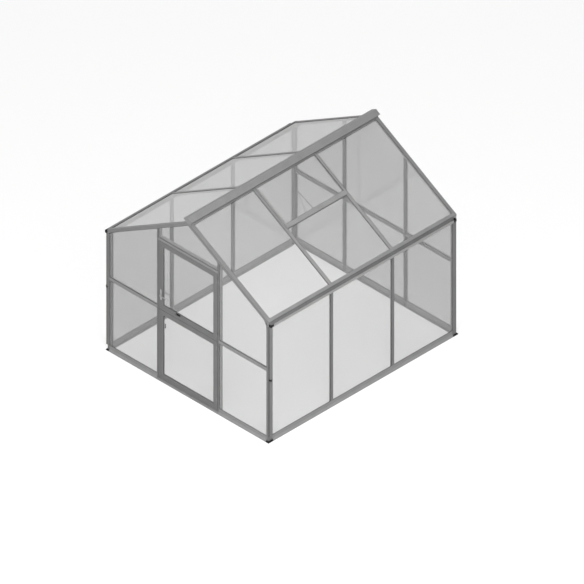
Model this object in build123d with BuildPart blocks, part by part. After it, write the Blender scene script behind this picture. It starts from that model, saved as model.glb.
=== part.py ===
# Free-standing glass greenhouse: aluminium glazing bars on a sill frame, clear panes, a gable
# roof with one vent, a gutter on each eave and a two-part door in the front gable.
# Origin on the ground at the middle of the house, +Z up, X across, Y along, door towards -Y.
# All sizes are in millimetres.
from build123d import *
from math import cos, radians, sin, tan
import os

os.makedirs("parts", exist_ok=True)

# Overall sizes
width = 2638.0  # between the outer faces of the side walls
length = 3080.0  # between the outer faces of the gables
eave_height = 1709.0  # ground to the roof plane above a side wall's outer face
roof_pitch = 30.0  # degrees
side_post_spacing = 1001.0
gable_post_spacing = 1000.0

# Glazing bars: cap flange outside, a glass slot on each side, web and bolt channel inside
bar_width = 34.0
roof_bar_width = 40.0
bar_depth = 40.0
cap_thickness = 3.0
glass_thickness = 4.0
seal_thickness = 0.5
seat_thickness = 2.5
slot_core = 6.0  # solid core between the two panes that a bar holds
web_thickness = 3.0
channel_width = 16.0
channel_height = 12.0
channel_wall = 2.5
channel_mouth = 7.0
rail_width = 45.0  # cap flange of the mid rails

# Corner bars, which hold a pane on each of two sides
post_face = 32.0
post_depth = 64.0
gable_rafter_face = 40.0
gable_rafter_cover = 45.0
corner_slot = 14.0
corner_bite = 12.0  # how far a pane reaches into a corner bar's slot
corner_wall = 2.5
pane_clearance = 1.0
glass_head_gap = 1.0

# Sill frame
sill_height = 78.0
sill_depth = 40.0
drip_reach = 16.0
drip_lip = 10.0
drip_rise = 32.0
foot_height = 15.0
sill_wall = 2.5
sill_face = 3.0
glass_rest = 68.0  # height of the trough floor that the lowest panes stand on
trough_height = 70.0  # top of the trough's inner wall
threshold_height = 28.0
foot_chamfer = 5.0

# Eave profile: a carrier on the posts, an upstand before the rafter ends and a shallow gutter
carrier_base = 1645.0
carrier_wall = 3.0
upstand_top = 1704.0
gutter_width = 46.0  # from the wall's outer face to the gutter's
gutter_lip_height = 1680.0
gutter_wall = 3.0
gutter_bead = 6.0
gutter_round = 6.0
gutter_rear_inset = 40.0
gutter_cap_length = 45.0
gutter_cap_wall = 4.0
eave_trim_cover = 26.0
eave_trim_wall = 2.5
eave_trim_gap = 0.5
eave_trim_drip = 1690.0  # height of the trim's lower edge

# Downpipes
pipe_radius = 18.0
pipe_wall = 2.0
pipe_fit = 0.3
pipe_foot = 70.0
pipe_inset = 19.0  # pipe centre behind the front gable's face
pipe_offset = 18.5  # pipe centre out from the side wall's face
outlet_length = 25.0  # spigot of a gutter end inside its pipe
outlet_bore = 13.0
clip_height = 880.0
clip_thickness = 22.0
clip_wall = 4.0
clip_arm = 14.0

# Ridge
ridge_cap_rise = 69.5  # from the line where the roof planes meet up to the cap's top
ridge_beam_width = 28.0
ridge_beam_drop = 50.0
ridge_beam_wall = 3.0
ridge_wing = 70.0
ridge_neck = 30.0
ridge_foot = 20.0
ridge_shoulder = 52.0
ridge_leg = 4.0
ridge_wall = 2.5
ridge_plate = 3.0
ridge_glass_gap = 24.0
rafter_joint = 0.8  # between the two rafters of a gable

# Rails and brackets
mid_rail_height = 1025.0
gusset_thickness = 3.0
gusset_length = 66.0
gusset_lap = 12.0
gusset_clearance = 2.0

# Two-part door, hinged on the right, opening outwards
leaf_width = 954.0
leaf_thickness = 30.0
leaf_frame_width = 67.0
leaf_bottom = 34.0
leaf_split = 1010.0
leaf_top = 1974.0
leaf_gap = 6.0
leaf_step = 30.0
leaf_step_depth = 3.0
leaf_glass_depth = 14.0
leaf_glass_bite = 12.0
leaf_flange_back = 22.0
leaf_channel_depth = 10.0
jamb_width = 24.0
jamb_depth = 62.0
lintel_width = 36.0
jamb_wall = 3.0
stop_reach = 12.0
stop_depth = 37.0

# Hinges: a knuckle on the leaf turns on the post's pin
hinge_radius = 6.0
pin_radius = 3.0
pin_clearance = 0.08
knuckle_length = 28.0
knuckle_gap = 0.4
hinge_plate = 3.0
hinge_plate_width = 20.0
hinge_plate_gap = 0.5
hinge_heights = (190.0, 920.0, 1095.0, 1868.0)

# Lever handles and latches
handle_lift = 210.0  # lever above the upper leaf's lower edge
handle_plate = (24.0, 150.0, 4.0)
lever_length = 130.0
lever_standoff = 28.0
lever_radius = 5.0
lever_bend = 10.0
lever_collar = 9.0
latch_size = (68.0, 16.0, 12.0)
latch_round = 4.0
bolt_size = (24.0, 70.0, 14.0)
upper_latch_x = -162.0
lower_latch_height = 755.0

# Roof vent in the middle bay of the right slope
vent_width = 984.0
vent_top = 42.0  # below the ridge line, measured down the slope
vent_bottom = 667.0
vent_stile = 18.0
vent_bottom_rail = 55.0
vent_top_rail = 18.0
vent_thickness = 24.0
vent_glass_height = 12.0
vent_glass_bite = 10.0
vent_slot = 12.0
vent_clearance = 3.0
opener_knee = 330.0  # knee pin below the ridge line, measured down the slope
opener_drop = 40.0
opener_pin_drop = 13.0
opener_bracket = 20.0
opener_gap = 2.0
opener_spread = 130.0
opener_radius = 9.0
opener_rod = 4.0

half_width = width / 2
half_length = length / 2
pitch = radians(roof_pitch)
up_slope = Vector(-cos(pitch), 0, sin(pitch))
roof_out = Vector(sin(pitch), 0, cos(pitch))
slope_length = half_width / cos(pitch)
seat_depth = cap_thickness + seal_thickness + glass_thickness
seat_under = seat_depth + seat_thickness
bar_underside = bar_depth / cos(pitch)  # plumb depth of a bar lying in the roof
overrun = 60.0  # extra length that is trimmed off at a slanted cut
eave_point = Vector(half_width, 0, eave_height)
roof = Plane(origin=eave_point, x_dir=(0, 1, 0), z_dir=roof_out)


def roof_z(x):
    return eave_height + (half_width - abs(x)) * tan(pitch)


ridge_height = roof_z(0) + ridge_cap_rise


def save(builder, name):
    builder.part.label = name
    export_step(builder.part, f"parts/{name}.step")


# Upright plane across the house at y: local x is X, local y is Z, facing the door end
def across(y):
    return Plane(origin=(0, y, 0), x_dir=(1, 0, 0), z_dir=(0, -1, 0))


# Section plane of a bar: local y points out of the wall, the bar runs along local z
def bar_plane(origin, along, outward):
    return Plane(origin=origin, x_dir=Vector(outward).cross(Vector(along)), z_dir=along)


def bar_section(plane, cap_width=bar_width):
    seat = cap_width / 2 - cap_thickness
    foot = bar_depth - channel_height
    with BuildSketch(plane) as section:
        with BuildLine():
            Polyline(
                (0, 0),
                (cap_width / 2, 0),
                (cap_width / 2, -cap_thickness),
                (slot_core / 2, -cap_thickness),
                (slot_core / 2, -seat_depth),
                (seat, -seat_depth),
                (seat, -seat_under),
                (web_thickness / 2, -seat_under),
                (web_thickness / 2, -foot),
                (channel_width / 2, -foot),
                (channel_width / 2, -bar_depth),
                (channel_mouth / 2, -bar_depth),
                (channel_mouth / 2, -bar_depth + channel_wall),
                (channel_width / 2 - channel_wall, -bar_depth + channel_wall),
                (channel_width / 2 - channel_wall, -foot - channel_wall),
                (0, -foot - channel_wall),
            )
            mirror(about=Plane.YZ)
        make_face()
    return section.sketch


# Corner bar: face_a wide on one side and face_b on the other, measured from the outer edge
def corner_section(plane, face_a, face_b):
    with BuildSketch(plane) as section:
        with BuildLine():
            Polyline(
                (0, 0),
                (face_a, 0),
                (face_a, cap_thickness),
                (face_a - corner_slot, cap_thickness),
                (face_a - corner_slot, seat_depth),
                (face_a, seat_depth),
                (face_a, seat_under),
                (seat_under, seat_under),
                (seat_under, face_b - corner_wall),
                (face_a, face_b - corner_wall),
                (face_a, face_b),
                (seat_depth, face_b),
                (seat_depth, face_b - corner_slot),
                (cap_thickness, face_b - corner_slot),
                (cap_thickness, face_b),
                (0, face_b),
                close=True,
            )
        make_face()
    return section.sketch


# Sill: local x is the distance in from the wall's face, local y the height
def sill_section(plane):
    with BuildSketch(plane) as section:
        with BuildLine():
            Polyline(
                (-drip_reach, 0),
                (-drip_reach, drip_lip),
                (0, drip_rise),
                (0, sill_height),
                (sill_face, sill_height),
                (sill_face, glass_rest),
                (seat_depth, glass_rest),
                (seat_depth, trough_height),
                (seat_under, trough_height),
                (seat_under, sill_wall),
                (sill_depth, sill_wall),
                (sill_depth, 0),
                (seat_depth, 0),
                (seat_depth, glass_rest - sill_wall),
                (sill_wall, glass_rest - sill_wall),
                (sill_wall, drip_rise - sill_wall),
                (sill_wall - drip_reach, drip_lip - sill_wall),
                (sill_wall - drip_reach, 0),
                close=True,
            )
        make_face()
    return section.sketch


# Jamb or lintel, a tube behind its glass slot with a stop for the leaves
# Local x runs from the door opening into the wall, local y goes inwards
def jamb_section(plane, face):
    cavity_width = face - 2 * jamb_wall
    cavity_depth = jamb_depth - seat_under - jamb_wall
    with BuildSketch(plane) as section:
        with BuildLine():
            Polyline(
                (0, 0),
                (face, 0),
                (face, cap_thickness),
                (face - corner_slot, cap_thickness),
                (face - corner_slot, seat_depth),
                (face, seat_depth),
                (face, jamb_depth),
                (0, jamb_depth),
                (0, stop_depth + jamb_wall),
                (-stop_reach, stop_depth + jamb_wall),
                (-stop_reach, stop_depth),
                (0, stop_depth),
                close=True,
            )
        make_face()
        with Locations((face / 2, seat_under + cavity_depth / 2)):
            Rectangle(cavity_width, cavity_depth, mode=Mode.SUBTRACT)
    return section.sketch


opening_half = leaf_width / 2 + leaf_gap
jamb_outer = opening_half + jamb_width
lintel_bottom = leaf_top + leaf_gap
lintel_top = lintel_bottom + lintel_width

# Sill frame with its corner feet and the door threshold
with BuildPart() as side_sills:
    side_start = (half_width, post_depth - half_length, 0)
    extrude(
        sill_section(Plane(origin=side_start, x_dir=(-1, 0, 0), z_dir=(0, 1, 0))),
        amount=length - 2 * post_depth,
    )
    mirror(about=Plane.YZ)
save(side_sills, "side_sills")

with BuildPart() as front_sills:
    sill_start = (jamb_outer, -half_length, 0)
    extrude(
        sill_section(Plane(origin=sill_start, x_dir=(0, 1, 0), z_dir=(1, 0, 0))),
        amount=half_width - post_face - jamb_outer,
    )
    mirror(about=Plane.YZ)
save(front_sills, "front_sills")

with BuildPart() as rear_sill:
    rear_start = (half_width - post_face, half_length, 0)
    extrude(
        sill_section(Plane(origin=rear_start, x_dir=(0, -1, 0), z_dir=(-1, 0, 0))),
        amount=width - 2 * post_face,
    )
save(rear_sill, "rear_sill")

with BuildPart() as door_threshold:
    threshold_end = Plane(origin=(-jamb_outer, -half_length, 0), x_dir=(0, 1, 0), z_dir=(1, 0, 0))
    with BuildSketch(threshold_end):
        with BuildLine():
            Polyline(
                (-drip_reach, 0),
                (-drip_reach, drip_lip),
                (0, foot_height),
                (0, threshold_height),
                (jamb_depth, threshold_height),
                (jamb_depth, 0),
                (jamb_depth - sill_wall, 0),
                (jamb_depth - sill_wall, threshold_height - sill_wall),
                (sill_wall, threshold_height - sill_wall),
                (sill_wall, foot_height - sill_wall),
                (sill_wall - drip_reach, drip_lip - sill_wall),
                (sill_wall - drip_reach, 0),
                close=True,
            )
        make_face()
    extrude(amount=2 * jamb_outer)
save(door_threshold, "door_threshold")

with BuildPart() as corner_feet:
    foot_size = (post_face + drip_reach, post_depth + drip_reach)
    foot_centre = (half_width + drip_reach - foot_size[0] / 2, foot_size[1] / 2 - drip_reach - half_length)
    with BuildSketch():
        with Locations(foot_centre):
            Rectangle(*foot_size)
    extrude(amount=foot_height)
    outer_edges = faces().sort_by(Axis.Z)[-1].edges()
    chamfer([outer_edges.sort_by(Axis.X)[-1], outer_edges.sort_by(Axis.Y)[0]], length=foot_chamfer)
    mirror(about=Plane.YZ)
    mirror(about=Plane.XZ)
save(corner_feet, "corner_feet")

# Uprights
with BuildPart() as corner_posts:
    post_top = Plane(origin=(half_width, -half_length, carrier_base), x_dir=(-1, 0, 0), z_dir=(0, 0, -1))
    extrude(corner_section(post_top, post_face, post_depth), amount=carrier_base - foot_height)
    mirror(about=Plane.YZ)
    mirror(about=Plane.XZ)
save(corner_posts, "corner_posts")

# The bars of the walls are notched over the sill's trough and stand on its inner flange
with BuildPart() as side_wall_posts:
    post_foot = (half_width, side_post_spacing / 2, sill_wall)
    extrude(bar_section(bar_plane(post_foot, (0, 0, 1), (1, 0, 0))), amount=carrier_base - sill_wall)
    with BuildSketch(Plane.XY.offset(sill_wall)):
        with Locations((half_width - seat_under / 2, side_post_spacing / 2)):
            Rectangle(seat_under, bar_width)
    extrude(amount=sill_height - sill_wall, mode=Mode.SUBTRACT)
    mirror(about=Plane.YZ)
    mirror(about=Plane.XZ)
save(side_wall_posts, "side_wall_posts")

with BuildPart() as door_posts:
    jamb_foot = Plane(origin=(opening_half, -half_length, threshold_height))
    extrude(jamb_section(jamb_foot, jamb_width), amount=roof_z(0))
    split(bisect_by=roof.offset(-bar_depth), keep=Keep.BOTTOM)
    with BuildSketch(Plane.XY.offset(lintel_bottom - stop_reach)):
        with Locations((opening_half - stop_reach / 2, jamb_depth / 2 - half_length)):
            Rectangle(stop_reach, jamb_depth)
    extrude(amount=roof_z(0), mode=Mode.SUBTRACT)
    mirror(about=Plane.YZ)
save(door_posts, "door_posts")

with BuildPart() as rear_gable_posts:
    gable_foot = (gable_post_spacing / 2, half_length, sill_wall)
    extrude(bar_section(bar_plane(gable_foot, (0, 0, 1), (0, 1, 0))), amount=roof_z(0))
    split(bisect_by=roof.offset(-bar_depth), keep=Keep.BOTTOM)
    with BuildSketch(Plane.XY.offset(sill_wall)):
        with Locations((gable_post_spacing / 2, half_length - seat_under / 2)):
            Rectangle(bar_width, seat_under)
    extrude(amount=sill_height - sill_wall, mode=Mode.SUBTRACT)
    mirror(about=Plane.YZ)
save(rear_gable_posts, "rear_gable_posts")


# Pair of gable rafters at the door end, cut plumb at the eave and where they meet
def gable_rafters():
    ridge_end = eave_point + up_slope * (slope_length + overrun) - Vector(0, half_length, 0)
    with BuildPart() as rafters:
        section_plane = Plane(origin=ridge_end, x_dir=-roof_out, z_dir=-up_slope)
        extrude(
            corner_section(section_plane, gable_rafter_face, gable_rafter_cover),
            amount=slope_length + 2 * overrun,
        )
        split(bisect_by=Plane.YZ.offset(half_width), keep=Keep.BOTTOM)
        split(bisect_by=Plane.YZ.offset(rafter_joint / 2), keep=Keep.TOP)
        mirror(about=Plane.YZ)
    return rafters.part


with BuildPart() as front_rafters:
    add(gable_rafters())
save(front_rafters, "front_rafters")

with BuildPart() as rear_rafters:
    add(mirror(gable_rafters(), about=Plane.XZ, mode=Mode.PRIVATE))
save(rear_rafters, "rear_rafters")

with BuildPart() as roof_rafters:
    rafter_end = eave_point - up_slope * overrun + Vector(0, side_post_spacing / 2, 0)
    rafter_section = bar_section(bar_plane(rafter_end, up_slope, roof_out), roof_bar_width)
    extrude(rafter_section, amount=slope_length + 2 * overrun)
    split(bisect_by=Plane.YZ.offset(half_width), keep=Keep.BOTTOM)
    split(bisect_by=Plane.YZ.offset(ridge_beam_width / 2), keep=Keep.TOP)
    mirror(about=Plane.YZ)
    mirror(about=Plane.XZ)
save(roof_rafters, "roof_rafters")

# Ridge beam between the rafters, cap over them, and a plate on each end
with BuildPart() as ridge_beam:
    beam_half = half_length - gable_rafter_cover
    with BuildSketch(across(beam_half)):
        with Locations((0, roof_z(ridge_beam_width / 2) - ridge_beam_drop / 2)):
            Rectangle(ridge_beam_width, ridge_beam_drop)
            offset(amount=-ridge_beam_wall, mode=Mode.SUBTRACT)
    extrude(amount=2 * beam_half)
save(ridge_beam, "ridge_beam")


def wing_z(x):
    return ridge_height - x * tan(pitch)


# The cap's feet lie on the rafters, and the right one is cut away where the vent is
neck_foot = roof_z(ridge_neck)
foot_edge = ridge_neck + ridge_foot
foot_skin = ridge_wall / cos(pitch)
with BuildPart() as ridge_cap:
    with BuildSketch(across(half_length)):
        with BuildLine():
            Polyline(
                (0, ridge_height),
                (ridge_wing, wing_z(ridge_wing)),
                (ridge_wing, wing_z(ridge_wing) - ridge_wall),
                (ridge_shoulder, wing_z(ridge_shoulder) - ridge_wall),
                (ridge_neck + ridge_leg, roof_z(ridge_neck + ridge_leg) + foot_skin),
                (foot_edge, roof_z(foot_edge) + foot_skin),
                (foot_edge, roof_z(foot_edge)),
                (ridge_neck, neck_foot),
                (ridge_shoulder - ridge_leg, wing_z(ridge_shoulder - ridge_leg) - ridge_wall),
                (0, ridge_height - ridge_wall),
            )
            mirror(about=Plane.YZ)
        make_face()
    extrude(amount=length)
    with BuildSketch(roof):
        with Locations((0, slope_length - (ridge_neck + ridge_leg + foot_edge) / 2 / cos(pitch))):
            Rectangle(vent_width + 2 * vent_clearance, (ridge_foot - ridge_leg) / cos(pitch))
    extrude(amount=ridge_wall, mode=Mode.SUBTRACT)
save(ridge_cap, "ridge_cap")

with BuildPart() as ridge_end_plates:
    with BuildSketch(across(half_length + ridge_plate)):
        with BuildLine():
            Polyline(
                (0, ridge_height),
                (ridge_wing, wing_z(ridge_wing)),
                (ridge_neck, neck_foot),
                (0, neck_foot),
            )
            mirror(about=Plane.YZ)
        make_face()
    extrude(amount=ridge_plate)
    mirror(about=Plane.XZ)
save(ridge_end_plates, "ridge_end_plates")

# Eave profiles: the carrier lies on the posts under the rafters, the gutter hangs on its outer wall
carrier_depth = sill_depth
gutter_front = gutter_cap_length - half_length
gutter_rear = half_length - gutter_rear_inset - gutter_cap_length
pipe_place = (half_width + pipe_offset, pipe_inset - half_length)


def carrier_z(depth):
    return roof_z(half_width - depth) - bar_underside


# Plane across an eave: local x is the distance out from the wall's face, local y the height
def eave_plane(y):
    return Plane(origin=(half_width, y, 0), x_dir=(1, 0, 0), z_dir=(0, -1, 0))


# Open channel of the gutter, outside the carrier's wall
def channel_section(plane):
    floor = carrier_base + gutter_wall
    inside = gutter_width - gutter_wall
    under_lip = gutter_lip_height - gutter_wall
    with BuildSketch(plane) as section:
        with BuildLine():
            FilletPolyline(
                (gutter_wall, carrier_base),
                (gutter_width, carrier_base),
                (gutter_width, gutter_lip_height),
                radius=gutter_round,
            )
            Polyline(
                (gutter_width, gutter_lip_height),
                (gutter_width - gutter_bead, gutter_lip_height),
                (gutter_width - gutter_bead, under_lip),
                (inside, under_lip),
            )
            FilletPolyline(
                (inside, under_lip),
                (inside, floor),
                (gutter_wall, floor),
                radius=gutter_round - gutter_wall,
            )
            Line((gutter_wall, floor), (gutter_wall, carrier_base))
        make_face()
    return section.sketch


# The same section filled up to the lip, for a closed end
def channel_end(plane):
    with BuildSketch(plane) as section:
        with BuildLine():
            FilletPolyline(
                (gutter_wall, carrier_base),
                (gutter_width, carrier_base),
                (gutter_width, gutter_lip_height),
                radius=gutter_round,
            )
            Polyline(
                (gutter_width, gutter_lip_height),
                (gutter_wall, gutter_lip_height),
                (gutter_wall, carrier_base),
            )
        make_face()
    return section.sketch


with BuildPart() as right_gutter:
    carrier_skin = carrier_wall / cos(pitch)
    with BuildSketch(eave_plane(half_length)):
        with BuildLine():
            Polyline(
                (-carrier_depth, carrier_base),
                (gutter_wall, carrier_base),
                (gutter_wall, upstand_top),
                (0, upstand_top),
                (0, carrier_z(0)),
                (-carrier_depth, carrier_z(carrier_depth)),
                (-carrier_depth, carrier_z(carrier_depth) - carrier_skin),
                (-carrier_wall, carrier_z(carrier_wall) - carrier_skin),
                (-carrier_wall, carrier_base + carrier_wall),
                (-carrier_depth, carrier_base + carrier_wall),
                close=True,
            )
        make_face()
    extrude(amount=length)
    extrude(channel_section(eave_plane(gutter_rear)), amount=gutter_rear - gutter_front)
save(right_gutter, "right_gutter")

with BuildPart() as left_gutter:
    add(mirror(right_gutter.part, about=Plane.YZ, mode=Mode.PRIVATE))
save(left_gutter, "left_gutter")

# Trim over the lower edge of the roof panes, with a plumb lip before the upstand
with BuildPart() as eave_trims:
    trim_skin = eave_trim_wall / cos(pitch)
    lip_inside = gutter_wall + eave_trim_gap
    lip_outside = lip_inside + eave_trim_wall
    with BuildSketch(eave_plane(half_length)):
        with BuildLine():
            Polyline(
                (-eave_trim_cover, roof_z(half_width - eave_trim_cover)),
                (lip_inside, roof_z(half_width + lip_inside)),
                (lip_inside, eave_trim_drip),
                (lip_outside, eave_trim_drip),
                (lip_outside, roof_z(half_width + lip_outside) + trim_skin),
                (-eave_trim_cover, roof_z(half_width - eave_trim_cover) + trim_skin),
                close=True,
            )
        make_face()
    extrude(amount=length)
    mirror(about=Plane.YZ)
save(eave_trims, "eave_trims")

# Moulded gutter ends, the front two with a spigot down into the pipe, and one clip for each pipe
with BuildPart() as gutter_fittings:
    cap_starts = (gutter_rear + gutter_cap_length, gutter_front)
    end_starts = (gutter_rear + gutter_cap_length, gutter_cap_wall - half_length)
    for cap_start, end_start in zip(cap_starts, end_starts):
        extrude(channel_section(eave_plane(cap_start)), amount=gutter_cap_length)
        extrude(channel_end(eave_plane(end_start)), amount=gutter_cap_wall)
    with BuildSketch(Plane.XY.offset(carrier_base - outlet_length)):
        with Locations(pipe_place):
            Circle(pipe_radius - pipe_wall - pipe_fit)
    extrude(amount=outlet_length)
    with BuildSketch(Plane.XY.offset(carrier_base - outlet_length)):
        with Locations(pipe_place):
            Circle(outlet_bore)
    extrude(amount=outlet_length + gutter_wall, mode=Mode.SUBTRACT)
    with BuildSketch(Plane.XY.offset(clip_height)):
        with Locations(pipe_place):
            Circle(pipe_radius + clip_wall)
        with Locations((half_width + pipe_offset / 2, pipe_inset - half_length)):
            Rectangle(pipe_offset, clip_arm)
        with Locations(pipe_place):
            Circle(pipe_radius + pipe_fit, mode=Mode.SUBTRACT)
        with Locations((half_width - pipe_radius, pipe_inset - half_length)):
            Rectangle(2 * pipe_radius, 4 * pipe_radius, mode=Mode.SUBTRACT)
    extrude(amount=clip_thickness)
    mirror(about=Plane.YZ)
save(gutter_fittings, "gutter_fittings")

with BuildPart() as downpipes:
    with BuildSketch(Plane.XY.offset(pipe_foot)):
        with Locations(pipe_place):
            Circle(pipe_radius)
            Circle(pipe_radius - pipe_wall, mode=Mode.SUBTRACT)
    extrude(amount=carrier_base - pipe_foot)
    mirror(about=Plane.YZ)
save(downpipes, "downpipes")

# Rails across the gables
with BuildPart() as front_mid_rails:
    rail_start = (jamb_outer, -half_length, mid_rail_height)
    extrude(
        bar_section(bar_plane(rail_start, (1, 0, 0), (0, -1, 0)), rail_width),
        amount=half_width - post_face - jamb_outer,
    )
    mirror(about=Plane.YZ)
save(front_mid_rails, "front_mid_rails")

with BuildPart() as rear_mid_rails:
    bay_start = gable_post_spacing / 2 + bar_width / 2
    outer_start = (bay_start, half_length, mid_rail_height)
    extrude(
        bar_section(bar_plane(outer_start, (1, 0, 0), (0, 1, 0)), rail_width),
        amount=half_width - post_face - bay_start,
    )
    mirror(about=Plane.YZ)
    middle_span = gable_post_spacing - bar_width
    middle_start = (-middle_span / 2, half_length, mid_rail_height)
    extrude(bar_section(bar_plane(middle_start, (1, 0, 0), (0, 1, 0)), rail_width), amount=middle_span)
save(rear_mid_rails, "rear_mid_rails")

with BuildPart() as door_lintel:
    lintel_end = Plane(origin=(opening_half, -half_length, lintel_bottom), x_dir=(0, 0, 1), z_dir=(-1, 0, 0))
    extrude(jamb_section(lintel_end, lintel_width), amount=2 * opening_half)
save(door_lintel, "door_lintel")

# Corner brackets on the inner side of the glass slots, where rafters meet corner posts
with BuildPart() as gussets:
    gusset_side = half_width - post_face + gusset_lap
    gusset_inner = half_width - carrier_depth - gusset_clearance
    gusset_under = carrier_base - gusset_clearance
    rafter_lap = (gable_rafter_face - gusset_lap) / cos(pitch)
    gusset_end = gusset_inner - gusset_length
    with BuildSketch(across(seat_under + gusset_thickness - half_length)):
        with BuildLine():
            Polyline(
                (gusset_side, gusset_under - gusset_length),
                (gusset_side, gusset_under),
                (gusset_inner, gusset_under),
                (gusset_inner, roof_z(gusset_inner) - rafter_lap),
                (gusset_end, roof_z(gusset_end) - rafter_lap),
                close=True,
            )
        make_face()
    extrude(amount=gusset_thickness)
    mirror(about=Plane.YZ)
    mirror(about=Plane.XZ)
save(gussets, "gussets")

# Glass: every pane stands or hangs in the slots of the bars around it
pane_inset = slot_core / 2 + pane_clearance
wall_glass_end = half_length - post_depth + corner_bite
roof_glass_end = half_length - gable_rafter_cover + corner_bite
gable_glass_end = half_width - post_face + corner_bite
roof_glass_top = slope_length - ridge_glass_gap / cos(pitch)


def pane(left, bottom, right, top):
    with Locations(((left + right) / 2, (bottom + top) / 2)):
        Rectangle(right - left, top - bottom)


# Start and end of the three panes between two posts that stand at plus and minus offset
def three_bays(offset, end):
    edge = offset - pane_inset
    return [(-end, -offset - pane_inset), (-edge, edge), (offset + pane_inset, end)]


side_bays = three_bays(side_post_spacing / 2, wall_glass_end)
with BuildPart() as right_wall_glass:
    with BuildSketch(Plane(origin=(half_width - seat_depth, 0, 0), x_dir=(0, 1, 0), z_dir=(1, 0, 0))):
        for start, end in side_bays:
            pane(start, glass_rest, end, carrier_base - glass_head_gap)
    extrude(amount=glass_thickness)
save(right_wall_glass, "right_wall_glass")

with BuildPart() as left_wall_glass:
    add(mirror(right_wall_glass.part, about=Plane.YZ, mode=Mode.PRIVATE))
save(left_wall_glass, "left_wall_glass")

vent_low = slope_length - vent_bottom
vent_sill_middle = vent_low + bar_width / 2
roof_bays = three_bays(side_post_spacing / 2, roof_glass_end)


def roof_panes(middle_top):
    with BuildPart() as panes:
        with BuildSketch(roof.offset(-seat_depth)):
            for start, end in roof_bays:
                pane(start, 0, end, middle_top if start < 0 < end else roof_glass_top)
        extrude(amount=glass_thickness)
    return panes.part


with BuildPart() as right_roof_glass:
    add(roof_panes(vent_sill_middle - pane_inset))
save(right_roof_glass, "right_roof_glass")

with BuildPart() as left_roof_glass:
    add(mirror(roof_panes(roof_glass_top), about=Plane.YZ, mode=Mode.PRIVATE))
save(left_roof_glass, "left_roof_glass")

lower_pane_top = mid_rail_height - slot_core / 2 - pane_clearance
upper_pane_bottom = mid_rail_height + slot_core / 2 + pane_clearance
gable_notch_x = half_width - carrier_depth - pane_clearance
gable_notch_z = carrier_base - pane_clearance


def gable_glass_z(x):
    return roof_z(x) - (gable_rafter_face - corner_bite) / cos(pitch)


# Upper pane of an outer bay, notched round the end of the eave profile
def outer_bay_pane(plane, inner_edge):
    with BuildSketch(plane) as bay:
        with BuildLine():
            Polyline(
                (inner_edge, upper_pane_bottom),
                (gable_glass_end, upper_pane_bottom),
                (gable_glass_end, gable_notch_z),
                (gable_notch_x, gable_notch_z),
                (gable_notch_x, gable_glass_z(gable_notch_x)),
                (inner_edge, gable_glass_z(inner_edge)),
                close=True,
            )
        make_face()
    return bay.sketch


# Middle pane up to the point of the gable
def apex_pane(plane, half_pane, bottom):
    with BuildSketch(plane) as apex:
        with BuildLine():
            Polyline(
                (0, bottom),
                (half_pane, bottom),
                (half_pane, gable_glass_z(half_pane)),
                (0, gable_glass_z(0)),
            )
            mirror(about=Plane.YZ)
        make_face()
    return apex.sketch


front_glass_plane = across(seat_depth - half_length)
rear_glass_plane = across(half_length - seat_depth + glass_thickness)
front_pane_edge = jamb_outer - corner_bite
rear_pane_edge = gable_post_spacing / 2 + pane_inset

with BuildPart() as front_glass:
    with BuildSketch(front_glass_plane):
        pane(front_pane_edge, glass_rest, gable_glass_end, lower_pane_top)
    extrude(amount=glass_thickness)
    extrude(outer_bay_pane(front_glass_plane, front_pane_edge), amount=glass_thickness)
    mirror(about=Plane.YZ)
save(front_glass, "front_glass")

with BuildPart() as door_head_glass:
    head_pane = apex_pane(front_glass_plane, opening_half - seal_thickness, lintel_top - corner_bite)
    extrude(head_pane, amount=glass_thickness)
save(door_head_glass, "door_head_glass")

with BuildPart() as rear_outer_glass:
    with BuildSketch(rear_glass_plane):
        pane(rear_pane_edge, glass_rest, gable_glass_end, lower_pane_top)
    extrude(amount=glass_thickness)
    extrude(outer_bay_pane(rear_glass_plane, rear_pane_edge), amount=glass_thickness)
    mirror(about=Plane.YZ)
save(rear_outer_glass, "rear_outer_glass")

with BuildPart() as rear_middle_glass:
    middle_edge = gable_post_spacing / 2 - pane_inset
    with BuildSketch(rear_glass_plane):
        pane(-middle_edge, glass_rest, middle_edge, lower_pane_top)
    extrude(amount=glass_thickness)
    extrude(apex_pane(rear_glass_plane, middle_edge, upper_pane_bottom), amount=glass_thickness)
save(rear_middle_glass, "rear_middle_glass")

# Door leaves: a flat rim with a recessed glazing flange, one pane in the middle of the flange
leaf_half = leaf_width / 2
hinge_x = opening_half - leaf_gap / 2
hinge_y = -half_length - hinge_radius


def ring(bottom, top, outer_inset, inner_inset):
    middle = (0, (bottom + top) / 2)
    with Locations(middle):
        Rectangle(leaf_width - 2 * outer_inset, top - bottom - 2 * outer_inset)
        Rectangle(leaf_width - 2 * inner_inset, top - bottom - 2 * inner_inset, mode=Mode.SUBTRACT)


# Planes facing the door end at a depth behind the leaf's outer face; extrusions come forward
def leaf_plane(depth):
    return across(depth - half_length)


def leaf_frame(bottom, top):
    with BuildPart() as frame:
        with BuildSketch(leaf_plane(leaf_thickness)):
            ring(bottom, top, 0, leaf_step)
        extrude(amount=leaf_thickness)
        with BuildSketch(leaf_plane(leaf_flange_back)):
            ring(bottom, top, leaf_step, leaf_frame_width)
        extrude(amount=leaf_flange_back - leaf_step_depth)
        with BuildSketch(leaf_plane(leaf_glass_depth + glass_thickness)):
            ring(bottom, top, leaf_frame_width - corner_slot, leaf_frame_width)
        extrude(amount=glass_thickness, mode=Mode.SUBTRACT)
        with BuildSketch(leaf_plane(leaf_thickness)):
            ring(bottom, top, (leaf_step - channel_mouth) / 2, (leaf_step + channel_mouth) / 2)
        extrude(amount=leaf_channel_depth, mode=Mode.SUBTRACT)
    return frame.part


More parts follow.
